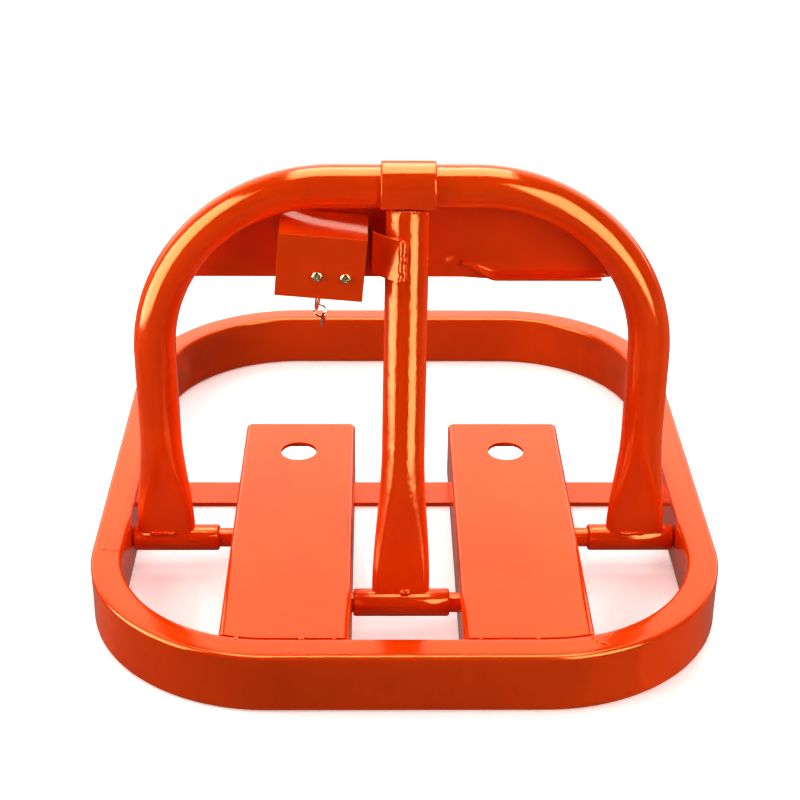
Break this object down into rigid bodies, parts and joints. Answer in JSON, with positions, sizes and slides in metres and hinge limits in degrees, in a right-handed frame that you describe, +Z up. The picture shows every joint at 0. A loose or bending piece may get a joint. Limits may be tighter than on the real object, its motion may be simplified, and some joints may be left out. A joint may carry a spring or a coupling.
{
  "type": "folding parking lock",
  "caption": "Orange folding parking lock: rounded ring frame, two covers, hinged arch with back plate and lock box, hinged prop leg with latch tab.",
  "frame": {"origin": "centre of the ring frame's footprint, on the ground", "axes": "+Z up from the ground; +Y along the frame's length, away from the lock box side; +X to the right seen from the lock box side"},
  "size_m": [0.51, 0.612, 0.3638],
  "materials": {
    "orange_paint": "gloss",
    "bright_steel": "satin",
    "yellow_zinc": "gloss",
    "brass": "satin",
    "nickel": "gloss"
  },
  "bodies": {
    "base": {"base_ring": "orange_paint", "left_cover": "orange_paint", "right_cover": "orange_paint", "cross_bar": "orange_paint", "left_side_shaft": "orange_paint", "right_side_shaft": "orange_paint", "foot_shaft": "orange_paint"},
    "arch": {"arch_tube": "orange_paint", "left_pivot_sleeve": "orange_paint", "right_pivot_sleeve": "orange_paint", "back_plate": "orange_paint", "crown_strap": "orange_paint", "lock_cover": "orange_paint", "lock_housing": "orange_paint", "cover_screw_left": "yellow_zinc", "cover_screw_right": "yellow_zinc", "lock_cylinder": "brass", "cylinder_nut": "bright_steel"},
    "leg": {"leg_tube": "orange_paint", "foot_sleeve": "orange_paint", "latch_tab": "orange_paint"},
    "bolt": {"lock_bolt": "bright_steel"},
    "key_set": {"cylinder_plug": "brass", "lock_cam": "bright_steel", "cam_screw": "bright_steel", "key": "nickel", "key_ring": "nickel", "key_tag": "nickel"}
  },
  "joints": [
    {"name": "arch_fold", "type": "hinge", "parent": "base", "child": "arch", "pos_m": [0, -0.101, 0.025], "axis": [-1, 0, 0], "range_deg": [0, 90]},
    {"name": "leg_fold", "type": "hinge", "parent": "base", "child": "leg", "pos_m": [0, -0.198, 0.025], "axis": [-1, 0, 0], "range_deg": [0, 70.5]},
    {"name": "key_turn", "type": "hinge", "parent": "arch", "child": "key_set", "pos_m": [-0.06817, -0.1126, 0.2663], "axis": [-0.0872, 0, -0.9962], "range_deg": [0, 90.4]},
    {"name": "bolt_slide", "type": "slide", "parent": "arch", "child": "bolt", "axis": [0.9962, 0, -0.0872], "range_m": [0, 0.012]}
  ],
  "couplings": [
    {"joint": "leg_fold", "follows": "arch_fold", "ratio": 0.7778},
    {"joint": "key_turn", "follows": "bolt_slide", "rad_per_m": 130.9}
  ]
}
